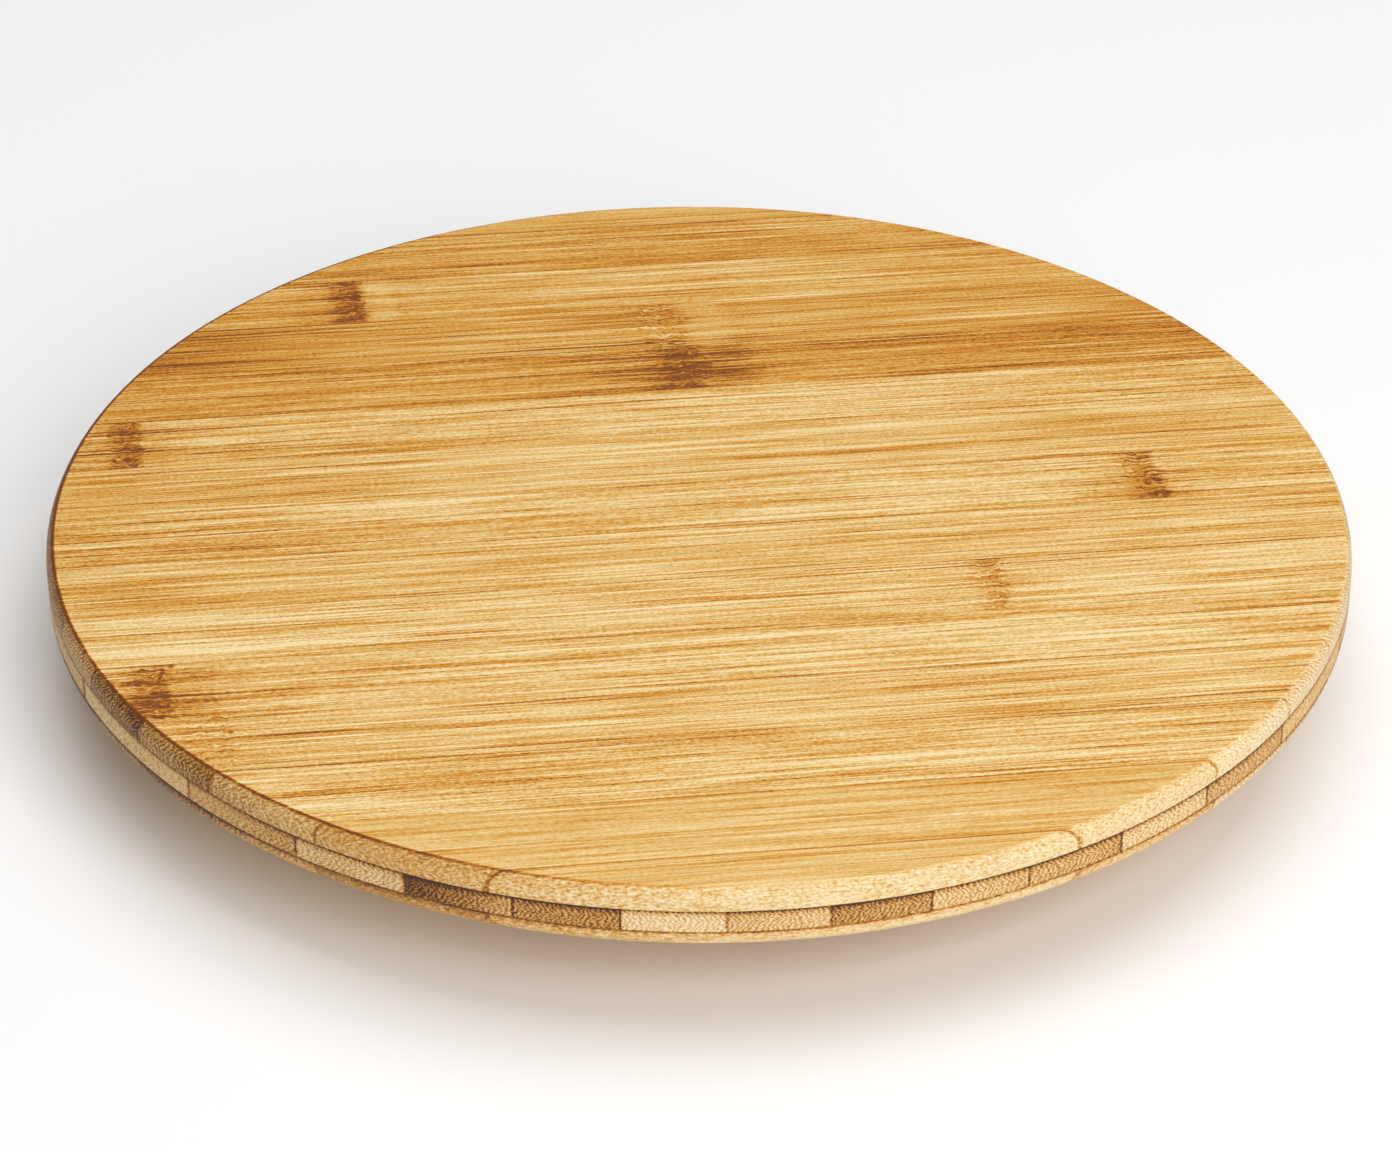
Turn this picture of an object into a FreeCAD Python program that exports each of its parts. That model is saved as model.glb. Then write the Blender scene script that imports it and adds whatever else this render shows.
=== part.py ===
"""A bamboo lazy susan: a round three-ply board that turns on a ball-bearing swivel over a two-ply base.

Millimetres, +Z up along the turning axis, origin on that axis in the plane the four feet stand on.
The grain of the board's two outer plies runs along X, and that of its core runs along Y.
Each sub-part is one object of the document, its Label names its STEP file, and its sizes come from Sheet.
"""

import FreeCAD, Part
import math
import os
import Sketcher
from FreeCAD import Placement, Rotation, Vector

DRIVING_SIZES = {
    # the turntable board, glued from strips in three plies
    "board_diameter": 350,
    "ply_thickness": 6,
    "face_strip_width": 24.7,
    "face_seam_offset": -11.1,
    "core_strip_width": 25,
    "core_seam_offset": 9,
    "top_bevel_run": 1.7,
    "top_bevel_drop": 4,
    "top_edge_ease": 0.25,
    "lower_edge_round": 5.5,
    # the base, glued from strips in two plies
    "base_diameter": 220,
    "base_strip_width": 25,
    "base_glue_line": 0.1,
    "base_edge_round": 2,
    "access_hole_diameter": 18,
    # the pressed-steel swivel between them
    "swivel_height": 8,
    "swivel_side": 102,
    "swivel_corner": 6,
    "sheet_gauge": 1.2,
    "flange_hole_offset": 45,
    "flange_hole_diameter": 4.6,
    "flange_inner_radius": 46,
    "web_height": 1.5,
    "web_inner_radius": 29,
    "ball_circle_radius": 38,
    "ball_diameter": 5.55,
    "race_radius": 3,
    "eyelet_radius": 28.4,
    "eyelet_flare": 3.1,
    "eyelet_lip": 1,
    "eyelet_gap": 0.25,
    "cage_width": 9,
    "cage_thickness": 2,
    "cage_pocket_diameter": 5.9,
    # the rubber feet
    "foot_height": 4,
    "foot_offset": 68,
    "foot_top_radius": 9,
    "foot_bottom_radius": 8,
    "foot_ease": 0.8,
    "foot_recess_radius": 4.4,
    "foot_recess_depth": 2.7,
    "foot_hole_radius": 2.2,
    # the wood screws, all of one kind
    "screw_length": 12,
    "screw_core_radius": 1.4,
    "screw_thread_radius": 2,
    "screw_thread_pitch": 1.5,
    "screw_neck": 1.6,
    "screw_tip": 2.6,
    "screw_head_radius": 3.7,
    "screw_head_height": 2.2,
    "screw_recess_width": 0.9,
    "screw_recess_span": 4.2,
    "screw_recess_depth": 1.3,
    "pilot_radius": 1.5,
}
BALL_COUNT = 16
BASE_STRIPS = 9
FACE_STRIPS = range(-7, 8)
CORE_STRIPS = range(-8, 7)
THREAD_TURNS = 5
THREAD_FLANK = 0.4  # the run of a thread's flank, as a share of its pitch
CROWN_ARC = 0.8  # the radius of a screw head's crown, as a share of the head's
SPARE = 1  # how far a cutting box or bore runs past what it cuts
LAP = 1  # how far a plate's pressed middle runs into its flange, so that they join
LEAST_CUT = 0.1  # the least volume that a real pocket takes away
CORNERS = [(1, 1), (-1, 1), (-1, -1), (1, -1)]
CORNER_NAMES = ["back_right", "back_left", "front_left", "front_right"]

doc = FreeCAD.newDocument("lazy_susan")
sheet = doc.addObject("Spreadsheet::Sheet", "Sheet")


class Size:
    """A length that holds both its number and the spreadsheet expression that gives it."""

    def __init__(self, value, text):
        self.value, self.text = value, text

    def joined(self, sign, other, value):
        return Size(value, f"({self.text} {sign} {size(other).text})")

    def __add__(self, other):
        return self.joined("+", other, self.value + size(other).value)

    def __sub__(self, other):
        return self.joined("-", other, self.value - size(other).value)

    def __mul__(self, other):
        return self.joined("*", other, self.value * size(other).value)

    def __truediv__(self, other):
        return self.joined("/", other, self.value / size(other).value)

    def root(self):
        return Size(math.sqrt(self.value), f"sqrt({self.text})")


def size(value):
    """A Size as it is, and a plain number as a constant Size."""
    return value if isinstance(value, Size) else Size(value, f"({value})")


def fill_sheet():
    """Writes the driving sizes into the spreadsheet and returns them by alias."""
    sizes = {}
    for row, (alias, value) in enumerate(DRIVING_SIZES.items(), start=1):
        sheet.set(f"A{row}", alias)
        sheet.set(f"B{row}", str(value))
        sheet.setAlias(f"B{row}", alias)
        sizes[alias] = Size(value, f"Sheet.{alias}")
    doc.recompute()
    return sizes


D = fill_sheet()
PLY = D["ply_thickness"]
GAUGE = D["sheet_gauge"]
BASE_BOTTOM = D["foot_height"]
BASE_MIDDLE = BASE_BOTTOM + PLY
BASE_TOP = BASE_MIDDLE + PLY
BOARD_BOTTOM = BASE_TOP + D["swivel_height"]
CORE_BOTTOM = BOARD_BOTTOM + PLY
FACE_BOTTOM = CORE_BOTTOM + PLY
NOTHING = size(0)


def bind(thing, name, value):
    """Drives one property or constraint from the spreadsheet."""
    thing.setExpression(name, size(value).text)


def place(thing, x=0, y=0, z=0):
    for axis, value in zip("xyz", (x, y, z)):
        bind(thing, f"Placement.Base.{axis}", value)


def primitive(kind, name, x, y, z, **sizes):
    """A Part primitive with its sizes and its place driven from the spreadsheet."""
    thing = doc.addObject(f"Part::{kind}", name)
    for key, value in sizes.items():
        bind(thing, key, value)
    place(thing, x, y, z)
    return thing


def combined(kind, label, base, tool):
    """Part::Cut or Part::Common of two objects."""
    thing = doc.addObject(f"Part::{kind}", label)
    thing.Label = label
    thing.Base, thing.Tool = base, tool
    return thing


def group(label, things):
    """Separate solids that share one node."""
    thing = doc.addObject("Part::Compound", label)
    thing.Label = label
    thing.Links = things
    return thing


def new_body(label):
    body = doc.addObject("PartDesign::Body", label)
    body.Label = label
    return body


def new_sketch(body, role, height=NOTHING):
    """A sketch on one of its body's origin planes, lifted by height along the plane's normal."""
    sketch = body.newObject("Sketcher::SketchObject", "Outline")
    plane = next(o for o in body.Origin.OriginFeatures if o.Role == role)
    sketch.AttachmentSupport = (plane, [""])
    sketch.MapMode = "FlatFace"
    bind(sketch, "AttachmentOffset.Base.z", height)
    return sketch


def constrain(sketch, kind, *where, value=None):
    """Adds a constraint, and drives it from the spreadsheet where it has a value."""
    if value is None:
        return sketch.addConstraint(Sketcher.Constraint(kind, *where))
    index = sketch.addConstraint(Sketcher.Constraint(kind, *where, size(value).value))
    bind(sketch, f"Constraints[{index}]", value)
    return index


def fix_point(sketch, piece, end, across, up):
    """Holds a sketch point at its distances from the sketch's origin."""
    for kind, axis, value in (("DistanceX", -2, across), ("DistanceY", -1, up)):
        if value is NOTHING:
            constrain(sketch, "PointOnObject", piece, end, axis)
        else:
            constrain(sketch, kind, -1, 1, piece, end, value=value)


def arc_between(start, end, radius, centre_side):
    """The arc of a radius from start to end, its centre left (1) or right (-1) of that way, and
    whether the arc's own first end is start."""
    chord = end - start
    middle = (start + end) / 2
    left = Vector(-chord.y, chord.x, 0).normalize()
    reach = math.sqrt(radius**2 - (chord.Length / 2) ** 2)
    centre = middle + left * (reach * centre_side)
    first, last = (start, end) if centre_side > 0 else (end, start)
    angles = [math.atan2(p.y - centre.y, p.x - centre.x) for p in (first, last)]
    if angles[1] < angles[0]:
        angles[1] += 2 * math.pi
    circle = Part.Circle(centre, Vector(0, 0, 1), radius)
    return Part.ArcOfCircle(circle, *angles), centre_side > 0


def closed_outline(sketch, corners, arcs=None):
    """A closed outline through corners, each (across, up). arcs gives (radius, centre side) for the
    edges that are round, by the number of their first corner."""
    arcs = arcs or {}
    points = [Vector(size(a).value, size(u).value, 0) for a, u in corners]
    ends = []
    for i, start in enumerate(points):
        end = points[(i + 1) % len(points)]
        if i in arcs:
            radius, side = arcs[i]
            curve, forward = arc_between(start, end, size(radius).value, side)
            piece = sketch.addGeometry(curve, False)
            constrain(sketch, "Radius", piece, value=radius)
        else:
            piece, forward = sketch.addGeometry(Part.LineSegment(start, end), False), True
        ends.append((piece, 1, 2) if forward else (piece, 2, 1))
    for i, (across, up) in enumerate(corners):
        piece, first, _ = ends[i]
        before, _, last = ends[i - 1]
        constrain(sketch, "Coincident", before, last, piece, first)
        fix_point(sketch, piece, first, across, up)


def circle(sketch, across, up, radius):
    centre = Vector(size(across).value, size(up).value, 0)
    piece = sketch.addGeometry(
        Part.Circle(centre, Vector(0, 0, 1), size(radius).value), False
    )
    fix_point(sketch, piece, 3, across, up)
    constrain(sketch, "Radius", piece, value=radius)


def pad(body, sketch, length):
    feature = body.newObject("PartDesign::Pad", "Pad")
    feature.Profile = sketch
    bind(feature, "Length", length)
    doc.recompute()
    return feature


def revolve(body, corners, arcs=None):
    """Adds the ring or shaft that an outline of (radius, height) corners sweeps round Z."""
    sketch = new_sketch(body, "XZ_Plane")
    closed_outline(sketch, corners, arcs)
    feature = body.newObject("PartDesign::Revolution", "Revolution")
    feature.Profile = sketch
    feature.ReferenceAxis = (sketch, ["V_Axis"])
    feature.Angle = 360
    doc.recompute()
    return feature


def pocket(body, sketch, depth, reverse=False):
    """Cuts a pocket, and stops if it takes nothing away."""
    before = body.Tip.Shape.Volume
    feature = body.newObject("PartDesign::Pocket", "Pocket")
    feature.Profile = sketch
    feature.Reversed = reverse
    bind(feature, "Length", depth)
    doc.recompute()
    if feature.Shape.Volume > before - LEAST_CUT:
        raise RuntimeError(f"the pocket in {body.Label} cuts nothing")
    return feature


def round_pattern(body, feature, count):
    """Repeats a feature evenly round Z."""
    axis = next(o for o in body.Origin.OriginFeatures if o.Role == "Z_Axis")
    pattern = body.newObject("PartDesign::PolarPattern", "PolarPattern")
    pattern.Originals = [feature]
    pattern.Axis = (axis, [""])
    pattern.Angle = 360
    pattern.Occurrences = count
    body.Tip = pattern
    doc.recompute()
    return pattern


def dress(body, feature, test, **sizes):
    """A fillet on the edges of feature that pass test."""
    fillet = body.newObject("PartDesign::Fillet", "Fillet")
    edges = [f"Edge{i}" for i, e in enumerate(feature.Shape.Edges, start=1) if test(e)]
    fillet.Base = (feature, edges)
    for name, value in sizes.items():
        bind(fillet, name, value)
    doc.recompute()
    return fillet


def upright(edge):
    """True for a straight edge along Z."""
    return isinstance(edge.Curve, Part.Line) and abs(edge.tangentAt(edge.FirstParameter).z) > 0.99


def board_blank():
    """The whole board before it is divided into strips: a disc with a steep bevel round its top
    and a quarter-round under its rim. The bevel is an arc that leaves the upright wall smoothly,
    and a narrow flat breaks the edge at the top."""
    rim = D["board_diameter"] / 2
    top = FACE_BOTTOM + PLY
    low = D["lower_edge_round"]
    run, drop = D["top_bevel_run"], D["top_bevel_drop"]
    ease = D["top_edge_ease"]
    bevel_arc = (run * run + drop * drop) / (run * 2)
    up = drop - ease
    inset = bevel_arc - (bevel_arc * bevel_arc - up * up).root()
    body = new_body("board_blank")
    corners = [
        (NOTHING, BOARD_BOTTOM),
        (rim - low, BOARD_BOTTOM),
        (rim, BOARD_BOTTOM + low),
        (rim, top - drop),
        (rim - inset, top - ease),
        (rim - inset - ease * 2, top),
        (NOTHING, top),
    ]
    revolve(body, corners, {1: (low, 1), 3: (bevel_arc, 1)})
    return body


def base_blank():
    """The whole base before it is divided into strips."""
    rim = D["base_diameter"] / 2
    edge = D["base_edge_round"]
    body = new_body("base_blank")
    corners = [
        (NOTHING, BASE_BOTTOM),
        (rim - edge, BASE_BOTTOM),
        (rim, BASE_BOTTOM + edge),
        (rim, BASE_TOP - edge),
        (rim - edge, BASE_TOP),
        (NOTHING, BASE_TOP),
    ]
    revolve(body, corners, {1: (edge, 1), 3: (edge, 1)})
    return body


def slab(name, blank_diameter, along_x, start, width, bottom):
    """The box that one strip is sawn to: one ply high, and longer than the blank."""
    length = blank_diameter + SPARE * 2
    if along_x:
        return primitive(
            "Box", name, length / -2, start, bottom, Length=length, Width=width, Height=PLY
        )
    return primitive(
        "Box", name, start, length / -2, bottom, Length=width, Width=length, Height=PLY
    )


def strip(label, blank, slab_box, bores=None):
    """One bamboo strip, cut from the blank, with the screw bores that pass through it."""
    if bores is None:
        return combined("Common", label, blank, slab_box)
    whole = combined("Common", label + "_undrilled", blank, slab_box)
    return combined("Cut", label, whole, bores)


def meets_screw(start, width):
    """True if a strip that starts there holds one of the two rows of flange screws."""
    low, high = start.value, start.value + width.value
    return any(low < side * D["flange_hole_offset"].value < high for side in (-1, 1))


def board_strips():
    """The three plies of the board. Strips are numbered along the axis that they cross."""
    blank = board_blank()
    bores = screw_bores("board_pilot", D["flange_hole_offset"], BOARD_BOTTOM - GAUGE)
    plies = [
        ("top_strip", FACE_STRIPS, "face", True, FACE_BOTTOM, False),
        ("core_strip", CORE_STRIPS, "core", False, CORE_BOTTOM, True),
        ("bottom_strip", FACE_STRIPS, "face", True, BOARD_BOTTOM, True),
    ]
    made = []
    for name, numbers, kind, along_x, bottom, drilled in plies:
        width = D[f"{kind}_strip_width"]
        for count, k in enumerate(numbers, start=1):
            start = width * k + D[f"{kind}_seam_offset"]
            label = f"{name}_{count:02d}"
            box = slab(label + "_slab", D["board_diameter"], along_x, start, width, bottom)
            drill = bores if drilled and meets_screw(start, width) else None
            made.append(strip(label, blank, box, drill))
    return made


def base_plies():
    """The two crossed plies of the base, with the screw bores and the hole that lets a screwdriver
    through to the board's screws. A glue line keeps the strips of a ply apart."""
    blank = base_blank()
    reach = D["flange_hole_offset"] * math.sqrt(2)
    access = primitive(
        "Cylinder",
        "access_bore",
        reach,
        0,
        BASE_BOTTOM - SPARE,
        Radius=D["access_hole_diameter"] / 2,
        Height=PLY * 2 + SPARE * 2,
    )
    top_bores = screw_bores("base_pilot", D["flange_hole_offset"], BASE_TOP + GAUGE, down=True)
    foot_bores = screw_bores("foot_pilot", D["foot_offset"], D["foot_recess_depth"])
    bores = group("base_bores", [access, top_bores, foot_bores])
    pitch, glue = D["base_strip_width"], D["base_glue_line"]
    made = []
    for label, along_x, bottom in (
        ("base_upper_ply", True, BASE_MIDDLE),
        ("base_lower_ply", False, BASE_BOTTOM),
    ):
        strips = []
        for k in range(BASE_STRIPS):
            start = pitch * (k - BASE_STRIPS / 2) + glue / 2
            name = f"{label}_strip_{k + 1}"
            box = slab(
                name + "_slab", D["base_diameter"], along_x, start, pitch - glue, bottom
            )
            strips.append(strip(name, blank, box, bores))
        made.append(group(label, strips))
    return made


def screw_bores(name, offset, seat, down=False):
    """Pilot holes for four screws whose heads sit at the height seat."""
    depth = D["screw_length"]
    low = seat - depth if down else seat
    bores = []
    for number, (sx, sy) in enumerate(CORNERS, start=1):
        bores.append(
            primitive(
                "Cylinder",
                f"{name}_{number}",
                offset * sx,
                offset * sy,
                low,
                Radius=D["pilot_radius"],
                Height=depth,
            )
        )
    return group(name, bores)


def screw_master():
    """A pan-head wood screw that points down, its head seated at height 0."""
    core, thread = D["screw_core_radius"], D["screw_thread_radius"]
    head, high = D["screw_head_radius"], D["screw_head_height"]
    pitch, length, neck = D["screw_thread_pitch"], D["screw_length"], D["screw_neck"]
    flank = pitch * THREAD_FLANK
    body = new_body("screw_master")
    corners = [(NOTHING, high), (NOTHING, size(0) - length), (core, D["screw_tip"] - length)]
    for turn in reversed(range(THREAD_TURNS)):
        crest = size(0) - neck - pitch * (turn + 0.5)
        corners += [(core, crest - flank), (thread, crest), (core, crest + flank)]
    corners += [(core, NOTHING), (head, NOTHING), (head, high / 3), (head / 2, high)]
    arc_from = len(corners) - 2
    revolve(body, corners, {arc_from: (head * CROWN_ARC, 1)})
    sketch = new_sketch(body, "XY_Plane", high)
    half, arm = D["screw_recess_width"] / 2, D["screw_recess_span"] / 2
    sides = [size(0) - arm, size(0) - half, half, arm]
    outer_low, inner_low, inner_high, outer_high = sides
    closed_outline(
        sketch,
        [
            (inner_low, outer_low),
            (inner_high, outer_low),
            (inner_high, inner_low),
            (outer_high, inner_low),
            (outer_high, inner_high),
            (inner_high, inner_high),
            (inner_high, outer_high),
            (inner_low, outer_high),
            (inner_low, inner_high),
            (outer_low, inner_high),
            (outer_low, inner_low),
            (inner_low, inner_low),
        ],
    )
    pocket(body, sketch, D["screw_recess_depth"])
    return body


def screws(label, master, offset, seat, down=False):
    """Four screws on the corners of a square, as one node of separate solids."""
    turned = Rotation(Vector(1, 0, 0), 0 if down else 180)
    copies = []
    for number, (sx, sy) in enumerate(CORNERS, start=1):
        copy = doc.addObject("App::Link", f"{label}_{number}")
        copy.LinkedObject = master
        copy.Placement = Placement(Vector(), turned)
        place(copy, offset * sx, offset * sy, seat)
        copies.append(copy)
    return group(label, copies)


def flange(body, height):
    """The square flange of a swivel plate: a sheet with rounded corners, a screw hole in each, and
    a round middle that is left open for the pressed race."""
    half = D["swivel_side"] / 2
    sketch = new_sketch(body, "XY_Plane", height)
    low = size(0) - half
    closed_outline(sketch, [(low, low), (half, low), (half, half), (low, half)])
    circle(sketch, NOTHING, NOTHING, D["flange_inner_radius"])
    sheet_pad = pad(body, sketch, GAUGE)
    dress(body, sheet_pad, upright, Radius=D["swivel_corner"])
    hole_sketch = new_sketch(body, "XY_Plane", height)
    offset = D["flange_hole_offset"]
    circle(hole_sketch, offset, offset, D["flange_hole_diameter"] / 2)
    hole = pocket(body, hole_sketch, GAUGE, reverse=True)
    round_pattern(body, hole, len(CORNERS))


def race_outline(level):
    """The two sides of the pressed sheet from the flange in past the race groove, and the radii of
    the groove's two arcs. The sheet steps up at 45 degrees and keeps its gauge round the bends.
    level turns a height above the plate's own wood face into a height."""
    ring, flange_in = D["ball_circle_radius"], D["flange_inner_radius"]
    web, race = D["web_height"], D["race_radius"]
    mitre = GAUGE * (math.sqrt(2) - 1)
    outer_arc = race + GAUGE
    low_reach = (outer_arc * outer_arc - (outer_arc - web) * (outer_arc - web)).root()
    high_reach = (race * race - (race - web) * (race - web)).root()
    under = [
        (flange_in + LAP, level(NOTHING)),
        (flange_in, level(NOTHING)),
        (flange_in - web, level(web)),
        (ring + low_reach, level(web)),
        (ring - low_reach, level(web)),
    ]
    over = [
        (ring - high_reach, level(web + GAUGE)),
        (ring + high_reach, level(web + GAUGE)),
        (flange_in - web + mitre, level(web + GAUGE)),
        (flange_in + mitre, level(GAUGE)),
        (flange_in + LAP, level(GAUGE)),
    ]
    return under, over, outer_arc, race


def lower_swivel_plate():
    body = new_body("lower_swivel_plate")
    flange(body, NOTHING)
    under, over, outer_arc, race = race_outline(lambda height: height)
    web = D["web_height"]
    rim = D["web_inner_radius"]
    inner = [(rim, web), (rim, web + GAUGE)]
    first_arc = len(under) - 2
    second_arc = len(under) + len(inner)
    arcs = {first_arc: (outer_arc, -1), second_arc: (race, 1)}
    revolve(body, under + inner + over, arcs)
    place(body, z=BASE_TOP)
    return body


def upper_swivel_plate():
    """The upper plate mirrors the lower one, and its eyelet is flared out under the lower plate's
    rim, which is what holds the two together."""
    body = new_body("upper_swivel_plate")
    high = D["swivel_height"]
    flange(body, high - GAUGE)
    under, over, outer_arc, race = race_outline(lambda height: high - height)
    web, gap = D["web_height"], D["eyelet_gap"]
    outside = D["eyelet_radius"]
    inside = outside - GAUGE
    lip = outside + D["eyelet_flare"]
    eyelet = [
        (inside, high - web),
        (inside, gap),
        (lip, gap),
        (lip, gap + D["eyelet_lip"]),
        (outside, gap + D["eyelet_lip"]),
        (outside, high - web - GAUGE),
    ]
    first_arc = len(under) - 2
    second_arc = len(under) + len(eyelet)
    arcs = {first_arc: (outer_arc, 1), second_arc: (race, -1)}
    revolve(body, under + eyelet + over, arcs)
    place(body, z=BASE_TOP)
    return body


def ball_cage():
    """The ring that keeps the balls apart, with a round pocket for each."""
    body = new_body("ball_cage")
    ring, half = D["ball_circle_radius"], D["cage_width"] / 2
    low = (D["swivel_height"] - D["cage_thickness"]) / 2
    sketch = new_sketch(body, "XY_Plane", low)
    circle(sketch, NOTHING, NOTHING, ring + half)
    circle(sketch, NOTHING, NOTHING, ring - half)
    pad(body, sketch, D["cage_thickness"])
    pocket_sketch = new_sketch(body, "XY_Plane", low)
    circle(pocket_sketch, ring, NOTHING, D["cage_pocket_diameter"] / 2)
    hole = pocket(body, pocket_sketch, D["cage_thickness"], reverse=True)
    round_pattern(body, hole, BALL_COUNT)
    place(body, z=BASE_TOP)
    return body


def bearing_balls():
    ring = D["ball_circle_radius"]
    balls = []
    for number in range(BALL_COUNT):
        turn = 2 * math.pi * number / BALL_COUNT
        x, y = ring * round(math.cos(turn), 9), ring * round(math.sin(turn), 9)
        z = BASE_TOP + D["swivel_height"] / 2
        name = f"ball_{number + 1}"
        balls.append(primitive("Sphere", name, x, y, z, Radius=D["ball_diameter"] / 2))
    return group("bearing_balls", balls)


def feet():
    """Four tapered rubber feet, each with a recess that keeps its screw head off the table."""
    wide, narrow, ease = D["foot_top_radius"], D["foot_bottom_radius"], D["foot_ease"]
    recess, deep, high = D["foot_recess_radius"], D["foot_recess_depth"], D["foot_height"]
    hole = D["foot_hole_radius"]
    corners = [
        (recess, NOTHING),
        (narrow - ease, NOTHING),
        (narrow, ease),
        (wide, high),
        (hole, high),
        (hole, deep),
        (recess, deep),
    ]
    made = []
    for name, (sx, sy) in zip(CORNER_NAMES, CORNERS):
        body = new_body(f"foot_{name}")
        revolve(body, corners, {1: (ease, 1)})
        place(body, D["foot_offset"] * sx, D["foot_offset"] * sy)
        made.append(body)
    return made


def build():
    master = screw_master()
    offset = D["flange_hole_offset"]
    return [
        *board_strips(),
        *base_plies(),
        lower_swivel_plate(),
        upper_swivel_plate(),
        ball_cage(),
        bearing_balls(),
        screws("board_screws", master, offset, BOARD_BOTTOM - GAUGE),
        screws("base_screws", master, offset, BASE_TOP + GAUGE, down=True),
        *feet(),
        screws("foot_screws", master, D["foot_offset"], D["foot_recess_depth"]),
    ]


def check(nodes):
    """Stops before anything is written if an object failed or a sub-part isn't sound."""
    for thing in doc.Objects:
        if {"Invalid", "Error"} & set(thing.State):
            raise RuntimeError(f"{thing.Label} failed: {thing.State}")
    for node in nodes:
        shape = node.Shape
        if shape.isNull() or not shape.isValid() or not shape.Solids:
            raise RuntimeError(f"{node.Label} has no valid solid")


def write(nodes):
    os.makedirs("parts", exist_ok=True)
    for node in nodes:
        node.Shape.exportStep(f"parts/{node.Label}.step")
    volume = sum(node.Shape.Volume for node in nodes)
    print(f"{len(nodes)} nodes, {sum(len(n.Shape.Solids) for n in nodes)} solids, {volume:.0f} mm3")


nodes = build()
doc.recompute()
check(nodes)
write(nodes)
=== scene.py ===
import math
from collections import namedtuple

import bpy
from mathutils import Matrix, Vector


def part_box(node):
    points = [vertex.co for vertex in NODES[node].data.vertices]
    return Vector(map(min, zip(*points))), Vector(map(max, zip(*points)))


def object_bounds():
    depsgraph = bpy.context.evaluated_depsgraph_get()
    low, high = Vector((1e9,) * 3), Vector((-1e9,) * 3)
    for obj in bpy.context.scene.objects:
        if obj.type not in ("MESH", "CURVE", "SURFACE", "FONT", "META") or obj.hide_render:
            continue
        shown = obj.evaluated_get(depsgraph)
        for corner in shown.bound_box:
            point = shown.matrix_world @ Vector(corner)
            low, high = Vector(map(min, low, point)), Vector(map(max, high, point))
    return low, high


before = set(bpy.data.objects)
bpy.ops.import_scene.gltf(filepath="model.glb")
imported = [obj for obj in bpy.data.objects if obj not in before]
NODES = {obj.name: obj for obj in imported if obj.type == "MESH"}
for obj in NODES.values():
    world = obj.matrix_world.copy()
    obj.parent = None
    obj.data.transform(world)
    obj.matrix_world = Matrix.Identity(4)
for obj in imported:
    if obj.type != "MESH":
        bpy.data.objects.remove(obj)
CAD_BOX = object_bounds()
MM = 0.001

# The view: an angle round the object and above it, towards a point a little in front of the middle
# of the board's top face.
CAMERA_AZIMUTH = -7.6
CAMERA_ELEVATION = 32.35
CAMERA_ROLL = 0.35
CAMERA_DISTANCE = 1.176
CAMERA_LENS = 115.7
AIM_OFFSET = Vector((-5.5 * MM, -35.1 * MM, 0))

# The world's light, and how bright the backdrop past the floor looks, so that it is pale without
# lighting the object more.
WORLD_LIGHT = 0.21
BACKDROP = 0.50
FLOOR_HALF = 4.0
FLOOR_DROP = 0.2 * MM
FLOOR_WHITE = 0.94

# Where a joint of the culm crosses a strip: its place along X in mm, its size, how dark its flecks
# are, how much darker it is as a whole, and how much darker or paler the patch just past it is.
Knuckle = namedtuple("Knuckle", "place size flecks tone past")
NO_KNUCKLE = Knuckle(9000, 1.0, 0.0, 0.0, 0.0)

# Top-ply strips from the front edge to the back one: how dark each is, from 0 (straw) to 1 (brown),
# how much darker it gets towards its left and right ends, how strong its streaks are, how dark the
# glue lines at its edges are, and its knuckle.
FACE_STRIPS = [
    (0.37, 0.00, 0.00, 0.8, 0.95, NO_KNUCKLE),
    (0.40, 0.01, 0.00, 0.8, 0.80, NO_KNUCKLE),
    (0.32, 0.03, 0.00, 1.25, 0.95, NO_KNUCKLE),
    (0.35, 0.06, 0.02, 1.25, 0.45, Knuckle(-136, 1.2, 0.25, 0.10, 0.00)),
    (0.33, 0.10, 0.02, 1.25, 0.70, Knuckle(-149, 1.1, 0.80, 0.30, 0.05)),
    (0.30, 0.02, 0.04, 1.25, 0.90, Knuckle(71, 0.8, 0.60, 0.20, 0.00)),
    (0.37, 0.06, 0.04, 1.1, 0.50, NO_KNUCKLE),
    (0.37, 0.08, 0.02, 1.2, 0.70, Knuckle(122, 1.0, 0.75, 0.28, 0.00)),
    (0.37, 0.12, 0.02, 1.1, 0.35, NO_KNUCKLE),
    (0.37, 0.12, 0.04, 1.2, 0.70, Knuckle(-153, 0.9, 0.80, 0.34, 0.00)),
    (0.59, 0.04, 0.12, 1.0, 0.40, Knuckle(4, 1.5, 0.85, 0.25, 0.12)),
    (0.53, 0.24, 0.06, 1.0, 0.30, Knuckle(0, 1.4, 0.70, 0.02, -0.18)),
    (0.46, 0.12, 0.06, 0.9, 0.65, Knuckle(-87, 0.9, 0.80, 0.34, -0.20)),
    (0.57, 0.02, 0.06, 1.0, 0.70, NO_KNUCKLE),
    (0.47, 0.00, 0.00, 0.8, 0.00, NO_KNUCKLE),
]
# Core-ply strips from left to right: how dark the end grain of each is, and how much darker it gets
# from its left edge to its right one.
CORE_STRIPS = [
    (0.42, 0.00),
    (0.36, 0.00),
    (0.52, 0.10),
    (0.38, 0.00),
    (0.74, -0.45),
    (0.66, 0.00),
    (0.27, 0.00),
    (0.42, -0.10),
    (0.60, -0.10),
    (0.42, 0.10),
    (0.50, 0.10),
    (0.32, 0.00),
    (0.50, 0.00),
    (0.40, 0.00),
    (0.50, 0.00),
]
# Bottom-ply strips from the front edge to the back one: how dark each is.
BOTTOM_TONES = [
    0.40, 0.52, 0.38, 0.46, 0.34, 0.50, 0.40, 0.36, 0.54, 0.42, 0.35, 0.50, 0.40, 0.46, 0.38,
]
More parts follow.
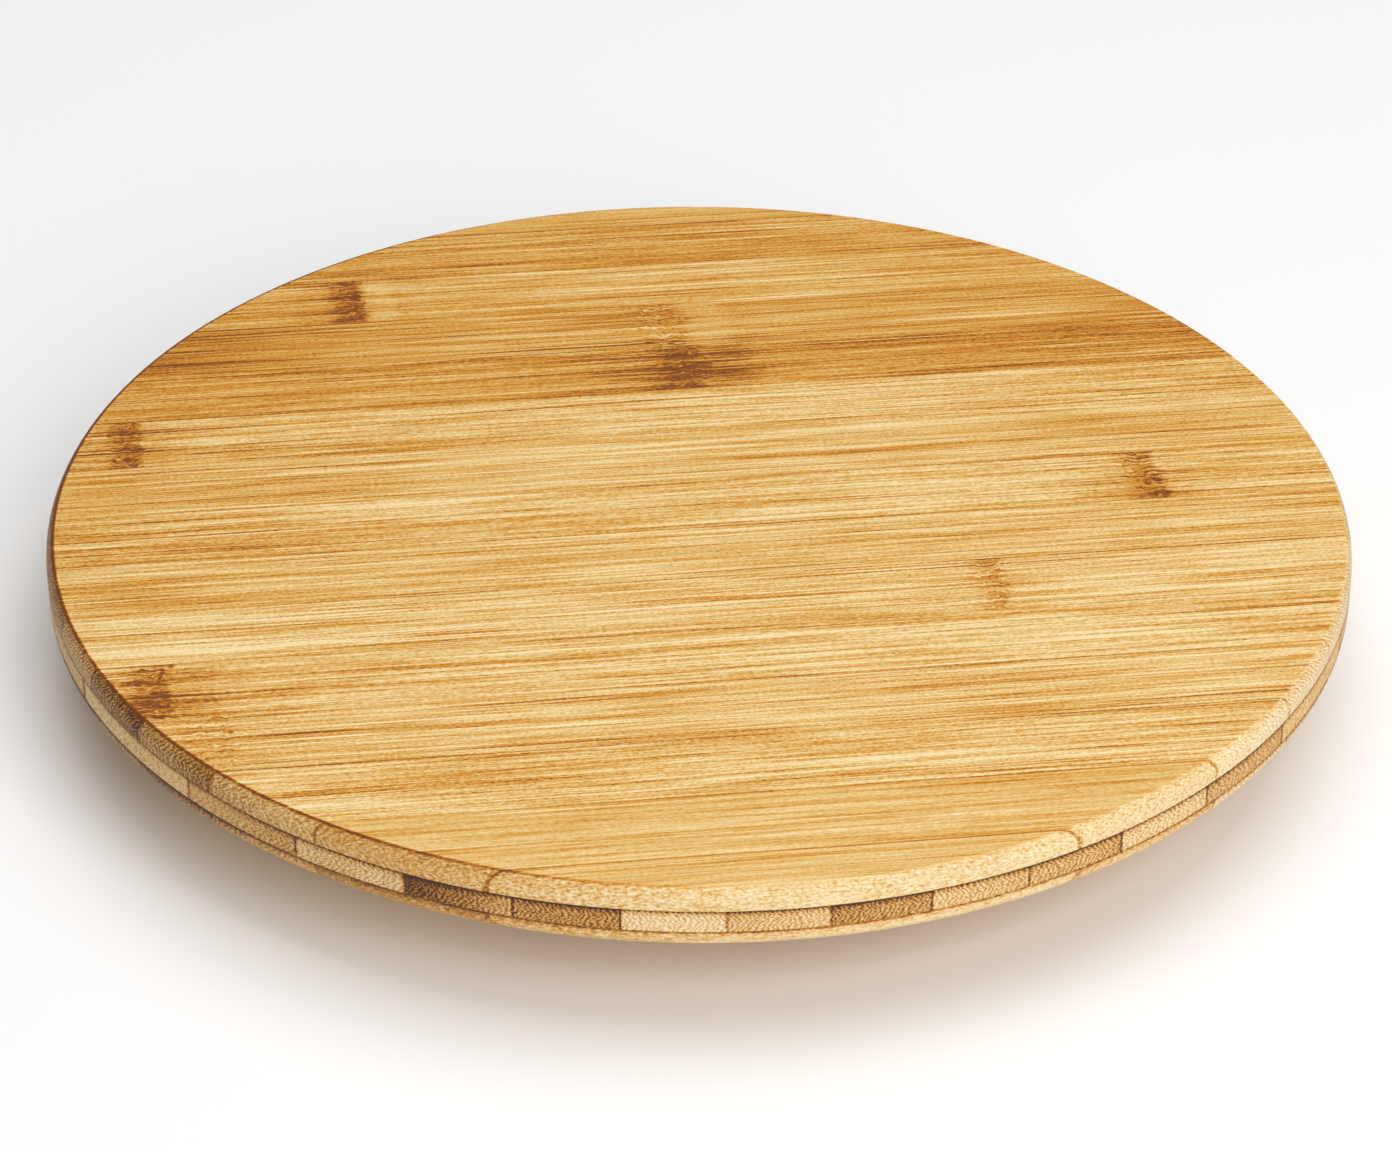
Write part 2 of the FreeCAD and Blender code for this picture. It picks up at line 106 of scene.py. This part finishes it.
# How much darker the rim is than the strip, towards the left and towards the right: painted shade
# on the left, and painted light, where the number is negative, on the right.
TOP_RIM_LIGHT = (0.22, -0.23)
BOTTOM_RIM_LIGHT = (0.28, -0.22)
# How dark the painted line of shade is along the edge between the board's face and its rim, on the
# left.
TOP_EDGE_SHADE = 0.75
# How much clearer than elsewhere the end grain of the top ply is.
TOP_END_CONTRAST = 1.15
BASE_TONE = 0.40
BASE_STRIP_WIDTH = 25.0
BASE_STRIPS = 9

# The first number that each ply's strips are seeded from.
TOP_SEED = 1
CORE_SEED = 21
BOTTOM_SEED = 41
BASE_SEEDS = {"base_upper_ply": 61, "base_lower_ply": 81}

# What a strip's material reads from the strip, and what it reads unless describe says otherwise.
PLAIN_STRIP = {
    "left_end": 0.0,  # how much darker it gets towards its left end
    "right_end": 0.0,  # and towards its right one
    "streaks": 1.0,  # how strong its streaks are
    "glue": 0.5,  # how dark the glue lines at its edges are
    "lean": 0.0,  # how much darker its ends get from one edge to the other
    "end_contrast": 1.0,  # how clear its end grain is
    "rim_left": 0.0,  # how much darker painted shade makes the rim towards the left
    "rim_right": 0.0,  # and towards the right, where a negative number is painted light
    "scorch": 0.0,  # how dark the painted line of shade along the edge between the face and the rim is
    "several": 0.0,  # 1 if the piece holds several strips, side by side
}

# A colour for each tone, of bamboo cut along its fibres and of bamboo cut across them.
LONG_GRAIN = [
    (0.00, (0.975, 0.880, 0.680)),
    (0.22, (0.918, 0.785, 0.525)),
    (0.42, (0.866, 0.692, 0.382)),
    (0.58, (0.832, 0.592, 0.200)),
    (0.74, (0.780, 0.490, 0.100)),
    (0.88, (0.665, 0.382, 0.070)),
    (1.00, (0.490, 0.258, 0.048)),
]
END_GRAIN = [
    (0.00, (0.925, 0.865, 0.735)),
    (0.22, (0.874, 0.774, 0.592)),
    (0.42, (0.820, 0.655, 0.400)),
    (0.62, (0.700, 0.490, 0.210)),
    (0.82, (0.500, 0.300, 0.100)),
    (1.00, (0.270, 0.145, 0.070)),
]
# How far apart strips with neighbouring seeds lie in the noise, in mm.
SEED_SHIFT = 71.3
# How far apart the rows of fibre ends are, in mm.
DASH_PITCH = 1.3
# How far from the centre the board's face ends and its bevel begins, in mm.
EDGE_RADIUS = 173.2
# How much of the end grain's colour a rim has where it runs along the fibres.
RIM_PALENESS = 0.7
# How much painted shade darkens the rim just below the ply's upper face, as under the edge of the
# ply above.
UNDER_PLY_SHADE = 0.22
# How dark the glue lines are, with the painted shade in the upper ply line.
GLUE_AND_SHADE_DARKNESS = 0.46
BAMBOO_ROUGHNESS = 0.52
BAMBOO_SPECULAR = 0.30

# The sockets of a Mix node that take and give colours: they share their names with others.
MIX_FIRST, MIX_SECOND, MIX_RESULT = 6, 7, 2


class Shader:
    """A material's node graph. Its methods take numbers or sockets and return a socket."""

    def __init__(self, name):
        self.material = bpy.data.materials.new(name)
        self.material.use_nodes = True
        self.tree = self.material.node_tree
        self.surface = self.tree.nodes["Principled BSDF"]

    def node(self, kind, inputs=None, **settings):
        made = self.tree.nodes.new("ShaderNode" + kind)
        for name, value in settings.items():
            setattr(made, name, value)
        for name, value in (inputs or {}).items():
            self.feed(made.inputs[name], value)
        return made

    def feed(self, socket, value):
        if isinstance(value, bpy.types.NodeSocket):
            self.tree.links.new(value, socket)
        else:
            socket.default_value = value

    def finish(self, **sockets):
        for name, value in sockets.items():
            self.feed(self.surface.inputs[name.replace("_", " ")], value)
        return self.material

    def math(self, operation, *values):
        return self.node("Math", dict(enumerate(values)), operation=operation).outputs[0]

    def add(self, *values):
        total = values[0]
        for value in values[1:]:
            total = self.math("ADD", total, value)
        return total

    def times(self, *values):
        product = values[0]
        for value in values[1:]:
            product = self.math("MULTIPLY", product, value)
        return product

    def minus(self, a, b):
        return self.math("SUBTRACT", a, b)

    def ramp_between(self, value, low, high, start=0.0, end=1.0):
        """Runs smoothly from start, where value is low, to end, where it is high."""
        inputs = {
            "Value": value,
            "From Min": low,
            "From Max": high,
            "To Min": start,
            "To Max": end,
        }
        made = self.node("MapRange", inputs, interpolation_type="SMOOTHSTEP")
        return made.outputs["Result"]

    def crisp(self, value, edge):
        """From -1 to 1, with all of the change between -edge and edge."""
        return self.ramp_between(value, -edge, edge, -1.0, 1.0)

    def vector(self, x, y, z):
        return self.node("CombineXYZ", {"X": x, "Y": y, "Z": z}).outputs[0]

    def split(self, vector):
        made = self.node("SeparateXYZ", {"Vector": vector})
        return [made.outputs[axis] for axis in "XYZ"]

    def place(self):
        """Where a point is in the object's own frame, in millimetres."""
        point = self.node("TexCoord").outputs["Object"]
        inputs = {0: point, "Scale": 1 / MM}
        return self.node("VectorMath", inputs, operation="SCALE").outputs[0]

    def normal(self):
        """Which way the surface faces in the object's own frame."""
        return self.node("TexCoord").outputs["Normal"]

    def property(self, name):
        made = self.node("Attribute", attribute_type="OBJECT", attribute_name=name)
        return made.outputs["Fac"]

    def noise(self, vector, scale=1.0, detail=2.0, roughness=0.5):
        """Noise from about -1 to 1."""
        inputs = {"Vector": vector, "Scale": scale, "Detail": detail, "Roughness": roughness}
        value = self.node("TexNoise", inputs).outputs["Fac"]
        return self.times(self.minus(value, 0.5), 3.0)

    def colours(self, value, stops):
        """A colour for value, from stops of (position, (red, green, blue))."""
        made = self.node("ValToRGB", {"Fac": value})
        bands = made.color_ramp.elements
        while len(bands) < len(stops):
            bands.new(0.5)
        for band, (position, colour) in zip(bands, stops):
            band.position = position
            band.color = (*[linear(c) for c in colour], 1)
        return made.outputs["Color"]

    def mix(self, share, first, second):
        """The first colour where share is 0 and the second where it is 1."""
        made = self.node("Mix", {"Factor": share}, data_type="RGBA")
        self.feed(made.inputs[MIX_FIRST], first)
        self.feed(made.inputs[MIX_SECOND], second)
        return made.outputs[MIX_RESULT]

    def bump(self, height, distance):
        inputs = {"Height": height, "Distance": distance, "Strength": 1.0}
        return self.node("Bump", inputs).outputs["Normal"]


def linear(value):
    """A display value from 0 to 1 as the linear value that shaders take."""
    return value / 12.92 if value <= 0.04045 else ((value + 0.055) / 1.055) ** 2.4


class Grain:
    """Where a shaded point lies in a ply of bamboo strips, in mm: along its strip, across it and
    up. The shifted places give each strip its own part of the pattern, as if no two strips were
    cut from the same culm."""

    def __init__(self, s, along_x, ply, pitch, first_seam):
        self.s = s
        self.pitch = pitch
        self.low, self.high = ply
        x, y, self.up = s.split(s.place())
        self.along, self.across = (x, y) if along_x else (y, x)

        from_seam = s.minus(self.across, first_seam)
        self.in_strip = s.math("FLOORED_MODULO", from_seam, pitch)
        number = s.math("FLOOR", s.times(from_seam, 1 / pitch))
        self.seed = s.add(s.property("seed"), s.times(number, s.property("several")))
        shift = s.times(self.seed, SEED_SHIFT)
        self.far_along = s.add(self.along, shift)
        self.deep = s.add(self.up, shift)

        # fibres wander a little along the strip, and a lot at a knuckle
        self.core, self.halo, self.past = self.knuckle_parts()
        lazy_place = s.vector(s.times(self.far_along, 0.004), s.times(self.across, 0.03), 0)
        lazy = s.noise(lazy_place, detail=1.0)
        swirl = self.cloud(0.22, 0.28, self.deep)
        bend = s.times(swirl, self.core, 1.8)
        self.bent = s.add(self.across, s.times(lazy, 0.4), bend)

        normal = s.split(s.normal())
        self.facing_end = s.math("ABSOLUTE", normal[0 if along_x else 1])
        self.facing_up = s.math("ABSOLUTE", normal[2])

    def cloud(self, along_scale, across_scale, depth):
        """Soft noise, stretched differently along the strip and across it."""
        s = self.s
        point = s.vector(
            s.times(self.far_along, along_scale), s.times(self.across, across_scale), depth
        )
        return s.noise(point)

    def streaks(self, length, width, detail=1.0, shift=0.0):
        """Noise in patches about that long and wide, in mm, which follow the fibres."""
        s = self.s
        point = s.vector(
            s.add(s.times(self.far_along, 1 / length), shift),
            s.times(self.bent, 1 / width),
            s.times(self.deep, 1 / width),
        )
        return s.noise(point, detail=detail, roughness=0.6)

    def knuckle_parts(self):
        """Where a knuckle crosses the strip: its core, ragged because each fibre bends at its own
        place, the browner stretch round it, and the patch just past it."""
        s = self.s
        ragged = s.noise(s.vector(0, s.times(self.across, 1.3), self.deep))
        leaning = s.noise(s.vector(0, s.times(self.across, 0.16), self.deep), detail=1.0)
        from_knuckle = s.minus(self.along, s.property("knuckle_at"))
        offset = s.math("DIVIDE", from_knuckle, s.property("knuckle_size"))
        past = s.add(offset, s.times(ragged, 2.4), s.times(leaning, 2.6))

        def stretch(start, full, fading, end):
            rise = s.ramp_between(past, start, full)
            return s.times(rise, s.ramp_between(past, fading, end, 1.0, 0.0))

        core = s.times(stretch(-8.0, -2.0, 3.5, 6.5), s.ramp_between(past, -8.0, 4.0, 0.55, 1.1))
        return core, stretch(-30.0, -3.0, 4.0, 24.0), stretch(5.0, 8.0, 12.0, 18.0)

    def strip_tone(self):
        """How dark the strip is: its own tone, darker towards its ends. In a piece that holds
        several strips, each has a tone of its own."""
        s = self.s
        draw = s.node("TexWhiteNoise", {"W": self.seed}, noise_dimensions="1D").outputs["Value"]
        own_tone = s.times(s.minus(draw, 0.5), 0.3, s.property("several"))
        left = s.times(s.property("left_end"), s.ramp_between(self.along, -40.0, -165.0))
        right = s.times(s.property("right_end"), s.ramp_between(self.along, 40.0, 165.0))
        cloud = s.times(self.cloud(0.016, 0.05, 0), 0.06)
        return s.add(s.property("tone"), own_tone, cloud, left, right)

    def knuckle_tone(self, fine):
        """How much darker the knuckle, its flecks and the wood beside it are."""
        s = self.s
        dash_place = s.vector(
            s.times(self.far_along, 0.50), s.times(self.bent, 1.6), s.times(self.deep, 1.6)
        )
        dash = s.noise(dash_place)
        flecks = s.property("knuckle_flecks")
        return s.add(
            s.times(self.halo, flecks, s.add(0.14, s.times(fine, 0.08))),
            s.times(self.core, s.property("knuckle_tone")),
            s.times(self.core, flecks, s.times(dash, 0.42)),
            s.times(self.past, s.property("knuckle_past"), s.add(0.8, s.times(fine, 0.4))),
        )

    def seams(self):
        """The glue lines at the strip's two edges, which fade here and there."""
        s = self.s
        back_edge = s.ramp_between(s.minus(self.pitch, self.in_strip), 0.25, 0.60, 1.0, 0.0)
        front_edge = s.ramp_between(self.in_strip, 0.15, 0.40, 0.7, 0.0)
        broken = s.ramp_between(self.streaks(90, 3.0, 2.0), -0.9, 0.4, 0.45, 1.0)
        return s.times(s.add(back_edge, front_edge), broken, s.property("glue"))

    def ply_lines(self):
        """The glue lines at the ply's lower and upper faces. The upper one is wider and darker: a
        glue line with painted shade, as under the edge of the ply above.
        """
        s = self.s
        lower = s.ramp_between(s.minus(self.up, self.low), 0.05, 0.25, 0.3, 0.0)
        upper = s.ramp_between(s.minus(self.high, self.up), 0.20, 0.80, 0.75, 0.0)
        return s.add(lower, upper)

    def stain_and_shade(self):
        """Painted shade: how much darker the rim gets just below the ply's upper face, as under the
        edge of the ply above.
        """
        s = self.s
        return s.ramp_between(s.minus(self.high, self.up), 0.4, 2.2, UNDER_PLY_SHADE, 0.0)

    def scorch(self):
        """A painted line of shade along the sharp edge between the face and the rim, dark on the
        left and fading out towards the middle.
        """
        s = self.s
        squares = s.add(s.times(self.along, self.along), s.times(self.across, self.across))
        from_centre = s.math("SQRT", squares)
        edge = s.times(
            s.ramp_between(from_centre, EDGE_RADIUS - 0.8, EDGE_RADIUS - 0.2),
            s.ramp_between(from_centre, EDGE_RADIUS + 0.1, EDGE_RADIUS + 0.5, 1.0, 0.0),
        )
        return s.times(edge, s.ramp_between(self.along, -130.0, 20.0, s.property("scorch"), 0.0))

    def rim_shade_and_light(self):
        """How much darker the rim is than the strip: painted shade towards the left and painted
        light towards the right, and darker again near the right-hand end of the strip.
        """
        s = self.s
        left, right = s.property("rim_left"), s.property("rim_right")
        return s.add(
            s.ramp_between(self.along, -160.0, 40.0, left, right),
            s.ramp_between(self.along, 90.0, 165.0, 0.0, 0.12),
        )

    def fibre_ends(self, cut_across, fleck):
        """Fibre bundles cut across: short pale dashes in rows that lean one way in the ply's lower
        half and the other way in its upper half. On a rim that runs along the fibres, the dashes
        give way to freckles."""
        s = self.s
        from_middle = s.math("ABSOLUTE", s.minus(self.up, (self.low + self.high) / 2))
        drift_place = s.vector(s.times(self.across, 0.30), s.times(self.up, 0.45), self.deep)
        drift = s.noise(drift_place)
        row = s.add(self.across, s.times(from_middle, 0.7), s.times(drift, 1.2))
        wave = s.math("SINE", s.times(row, math.tau / DASH_PITCH))
        grit_place = s.vector(s.times(self.across, 1.4), s.times(self.up, 1.6), self.deep)
        grit = s.noise(grit_place)
        dashes = s.add(s.times(wave, 0.18), s.times(grit, 0.22))
        dashes = s.times(dashes, s.add(s.times(cut_across, 0.6), 0.4))
        freckles = s.times(fleck, s.minus(0.36, s.times(cut_across, 0.24)))
        return s.times(s.add(dashes, freckles), s.property("end_contrast"))


def bamboo(name, along_x, ply, pitch, first_seam, relief):
    """Solid bamboo. Its fibre bundles run right through a strip, so they show as streaks on a face
    cut along them and as dashes on one cut across them. ply is the ply's lowest and highest point,
    and strips meet at first_seam and every pitch from it."""
    s = Shader(name)
    g = Grain(s, along_x, ply, pitch, first_seam)

    bands = g.streaks(180, 5.0, 2.0)
    fine = s.crisp(g.streaks(55, 1.00, 2.0), 0.28)
    hair = s.crisp(g.streaks(26, 0.55, 2.0), 0.32)
    fleck = g.streaks(1.1, 0.55)
    dark_line = s.ramp_between(g.streaks(130, 1.10, shift=13.0), 0.20, 0.55)
    pale_line = s.ramp_between(g.streaks(110, 1.05, shift=29.0), 0.20, 0.55)
    streak = s.add(
        s.times(bands, 0.17),
        s.times(fine, 0.105),
        s.times(hair, 0.095),
        s.times(fleck, 0.25),
        s.times(dark_line, 0.25),
        s.times(pale_line, -0.21),
    )
    tone = s.add(g.strip_tone(), g.knuckle_tone(fine))

    # how squarely the face is cut across the fibres, and whether it is on the rim
    cut_across = s.ramp_between(g.facing_end, 0.35, 0.8)
    on_wall = s.ramp_between(g.facing_up, 0.7, 0.3)
    on_rim = s.ramp_between(g.facing_up, 0.97, 0.80, 0.0, RIM_PALENESS)

    seams = g.seams()
    # the glue lines between strips and between plies, with painted shade in the wider upper ply
    # line
    glue_and_shade_lines = s.times(s.add(seams, s.times(g.ply_lines(), on_wall)), GLUE_AND_SHADE_DARKNESS)
    # painted shade: a dark line along the edge between the face and the rim, on the left
    marks = s.add(glue_and_shade_lines, g.scorch())
    long_tone = s.add(tone, s.times(streak, s.property("streaks")), marks)
    leaning = s.times(s.property("lean"), s.minus(s.times(g.in_strip, 1 / pitch), 0.5))
    # painted shade on the rim just below each ply's upper face
    stain_and_shade = s.times(g.stain_and_shade(), on_wall)
    # the rim's colour holds painted shade and painted light: darker on the left, paler on the
    # right, and shade just below each ply's upper face
    end_tone = s.add(tone, g.fibre_ends(cut_across, fleck), leaning, g.rim_shade_and_light(), stain_and_shade, marks)
    wood = s.mix(
        s.math("MAXIMUM", cut_across, on_rim),
        s.colours(long_tone, LONG_GRAIN),
        s.colours(end_tone, END_GRAIN),
    )
    looks = {
        "Base_Color": wood,
        "Specular_IOR_Level": BAMBOO_SPECULAR,
        "Roughness": BAMBOO_ROUGHNESS,
    }
    if relief:
        unevenness = s.add(s.times(fine, 0.02), s.times(dark_line, 0.06))
        height = s.add(s.times(fine, 0.15), s.times(dark_line, -0.6), s.times(seams, -0.5))
        looks["Roughness"] = s.add(BAMBOO_ROUGHNESS, unevenness)
        looks["Normal"] = s.bump(height, 0.03 * MM)
    return s.finish(**looks)


def zinc_steel():
    s = Shader("zinc_steel")
    point = s.place()
    spangle = s.node("TexVoronoi", {"Vector": point, "Scale": 0.35}).outputs["Color"]
    tint = s.times(s.split(spangle)[0], 0.08)
    stain_and_shade = s.noise(point, 0.06, 4.0)
    tone = s.add(0.45, tint, s.times(stain_and_shade, 0.12))
    grit = s.noise(point, 6.0, 3.0)
    return s.finish(
        Base_Color=s.colours(tone, [(0.0, (0.60, 0.61, 0.62)), (1.0, (0.86, 0.87, 0.88))]),
        Metallic=1.0,
        Roughness=s.add(0.34, s.times(stain_and_shade, 0.06), tint),
        Normal=s.bump(grit, 0.01 * MM),
    )


def ball_steel():
    s = Shader("ball_steel")
    smear = s.noise(s.place(), 0.8, 3.0)
    return s.finish(
        Base_Color=s.colours(smear, [(0.0, (0.80, 0.80, 0.82)), (1.0, (0.90, 0.90, 0.91))]),
        Metallic=1.0,
        Roughness=s.add(0.12, s.times(smear, 0.03)),
    )


def screw_steel():
    s = Shader("screw_steel")
    point = s.place()
    wear = s.noise(point, 0.9, 4.0)
    tone = s.add(0.5, s.times(wear, 0.3))
    grit = s.noise(point, 9.0, 2.0)
    return s.finish(
        Base_Color=s.colours(tone, [(0.0, (0.55, 0.54, 0.50)), (1.0, (0.84, 0.83, 0.80))]),
        Metallic=1.0,
        Roughness=s.add(0.36, s.times(wear, 0.08)),
        Normal=s.bump(grit, 0.01 * MM),
    )


def cage_plastic():
    s = Shader("cage_plastic")
    point = s.place()
    tone = s.add(0.5, s.times(s.noise(point, 0.12, 3.0), 0.3))
    grain = s.noise(point, 5.0, 3.0)
    return s.finish(
        Base_Color=s.colours(tone, [(0.0, (0.83, 0.81, 0.74)), (1.0, (0.90, 0.89, 0.84))]),
        Roughness=s.add(0.48, s.times(grain, 0.05)),
        Normal=s.bump(grain, 0.02 * MM),
    )


def foot_rubber():
    s = Shader("foot_rubber")
    point = s.place()
    dust = s.noise(point, 0.4, 4.0)
    tone = s.add(0.4, s.times(dust, 0.3))
    grain = s.noise(point, 4.0, 4.0)
    return s.finish(
        Base_Color=s.colours(tone, [(0.0, (0.10, 0.10, 0.11)), (1.0, (0.22, 0.22, 0.22))]),
        Roughness=s.add(0.72, s.times(dust, 0.08)),
        Normal=s.bump(grain, 0.06 * MM),
    )


def span(name, axis):
    """A CAD node's lowest and highest millimetre along an axis."""
    low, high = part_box(name)
    return low[axis] / MM, high[axis] / MM


def give(names, material):
    for name in names:
        NODES[name].data.materials.clear()
        NODES[name].data.materials.append(material)


def describe(name, seed, tone, knuckle=NO_KNUCKLE, **changes):
    """Sets what makes one strip differ from the next, which its material reads."""
    values = {
        "seed": seed,
        "tone": tone,
        "knuckle_at": knuckle.place,
        "knuckle_size": knuckle.size,
        "knuckle_flecks": knuckle.flecks,
        "knuckle_tone": knuckle.tone,
        "knuckle_past": knuckle.past,
        **PLAIN_STRIP,
        **changes,
    }
    for key, value in values.items():
        NODES[name][key] = float(value)


def strip_names(ply, strips):
    return [f"{ply}_strip_{n:02d}" for n in range(1, len(strips) + 1)]


def ply_material(name, strips, along_x, relief):
    """The material of a ply of the board, measured on two strips near the middle of it that lie
    side by side."""
    middle, neighbour = strips[6], strips[7]
    axis = 1 if along_x else 0
    seam, next_seam = span(middle, axis)[0], span(neighbour, axis)[0]
    return bamboo(name, along_x, span(middle, 2), next_seam - seam, seam, relief)


def dress_board():
    top = strip_names("top", FACE_STRIPS)
    core = strip_names("core", CORE_STRIPS)
    bottom = strip_names("bottom", BOTTOM_TONES)
    give(top, ply_material("bamboo_top", top, along_x=True, relief=True))
    give(core, ply_material("bamboo_core", core, along_x=False, relief=False))
    give(bottom, ply_material("bamboo_bottom", bottom, along_x=True, relief=False))
    for n, (tone, left, right, streaks, glue, knuckle) in enumerate(FACE_STRIPS):
        describe(
            top[n],
            TOP_SEED + n,
            tone,
            knuckle,
            left_end=left,
            right_end=right,
            streaks=streaks,
            glue=glue,
            end_contrast=TOP_END_CONTRAST,
            rim_left=TOP_RIM_LIGHT[0],
            rim_right=TOP_RIM_LIGHT[1],
            scorch=TOP_EDGE_SHADE,
        )
    for n, (tone, lean) in enumerate(CORE_STRIPS):
        describe(core[n], CORE_SEED + n, tone, lean=lean, glue=1.0)
    for n, tone in enumerate(BOTTOM_TONES):
        rim_left, rim_right = BOTTOM_RIM_LIGHT
        describe(bottom[n], BOTTOM_SEED + n, tone, rim_left=rim_left, rim_right=rim_right)


def dress_base():
    """Each of the base's plies is one piece of several strips, side by side about the centre."""
    first_seam = -BASE_STRIPS / 2 * BASE_STRIP_WIDTH
    for name, along_x in (("base_upper_ply", True), ("base_lower_ply", False)):
        ply = span(name, 2)
        wood = bamboo("bamboo_" + name, along_x, ply, BASE_STRIP_WIDTH, first_seam, relief=False)
        give([name], wood)
        describe(name, BASE_SEEDS[name], BASE_TONE, several=1.0)


def dress_hardware():
    screws = ["board_screws", "base_screws", "foot_screws"]
    feet = [name for name in NODES if name.startswith("foot_") and name not in screws]
    give(["lower_swivel_plate", "upper_swivel_plate"], zinc_steel())
    give(["bearing_balls"], ball_steel())
    give(screws, screw_steel())
    give(["ball_cage"], cage_plastic())
    give(feet, foot_rubber())


def add_floor():
    mesh = bpy.data.meshes.new("floor")
    ways = ((-1, -1), (1, -1), (1, 1), (-1, 1))
    corners = [(x * FLOOR_HALF, y * FLOOR_HALF, -FLOOR_DROP) for x, y in ways]
    mesh.from_pydata(corners, [], [(0, 1, 2, 3)])
    floor = bpy.data.objects.new("floor", mesh)
    bpy.context.scene.collection.objects.link(floor)
    white = (FLOOR_WHITE, FLOOR_WHITE, FLOOR_WHITE, 1)
    mesh.materials.append(Shader("floor").finish(Base_Color=white, Roughness=0.9))


def direction(azimuth, elevation):
    """The way from the object to something at that angle round it and above it."""
    a, e = math.radians(azimuth), math.radians(elevation)
    return Vector((math.sin(a) * math.cos(e), -math.cos(a) * math.cos(e), math.sin(e)))


def add_light(name, azimuth, elevation, distance, size, power):
    """A square soft light that faces the object."""
    lamp = bpy.data.lights.new(name, "AREA")
    lamp.size = size
    lamp.energy = power
    light = bpy.data.objects.new(name, lamp)
    back = direction(azimuth, elevation)
    light.location = back * distance
    light.rotation_euler = (-back).to_track_quat("-Z", "Y").to_euler()
    bpy.context.scene.collection.objects.link(light)


def add_world():
    """White all round, which camera rays see brighter than the light it gives."""
    world = bpy.data.worlds.new("studio")
    world.use_nodes = True
    nodes, links = world.node_tree.nodes, world.node_tree.links
    background = nodes["Background"]
    background.inputs["Color"].default_value = (1, 1, 1, 1)
    strength = nodes.new("ShaderNodeMapRange")
    strength.inputs["To Min"].default_value = WORLD_LIGHT
    strength.inputs["To Max"].default_value = BACKDROP
    links.new(nodes.new("ShaderNodeLightPath").outputs["Is Camera Ray"], strength.inputs["Value"])
    links.new(strength.outputs["Result"], background.inputs["Strength"])
    bpy.context.scene.world = world
    bpy.context.scene.view_settings.view_transform = "Standard"


def add_camera():
    low, high = CAD_BOX
    top_centre = Vector(((low.x + high.x) / 2, (low.y + high.y) / 2, high.z))
    back = direction(CAMERA_AZIMUTH, CAMERA_ELEVATION)
    data = bpy.data.cameras.new("camera")
    data.lens = CAMERA_LENS
    camera = bpy.data.objects.new("camera", data)
    turn = (-back).to_track_quat("-Z", "Y").to_matrix()
    roll = Matrix.Rotation(math.radians(CAMERA_ROLL), 3, "Z")
    camera.rotation_euler = (turn @ roll).to_euler()
    camera.location = top_centre + AIM_OFFSET + back * CAMERA_DISTANCE
    bpy.context.scene.collection.objects.link(camera)
    bpy.context.scene.camera = camera


dress_board()
dress_base()
dress_hardware()
add_floor()
add_light("key", azimuth=19, elevation=32, distance=2.4, size=1.8, power=44.5)
add_light("overhead", azimuth=150, elevation=78, distance=2.6, size=2.6, power=44)
add_world()
add_camera()
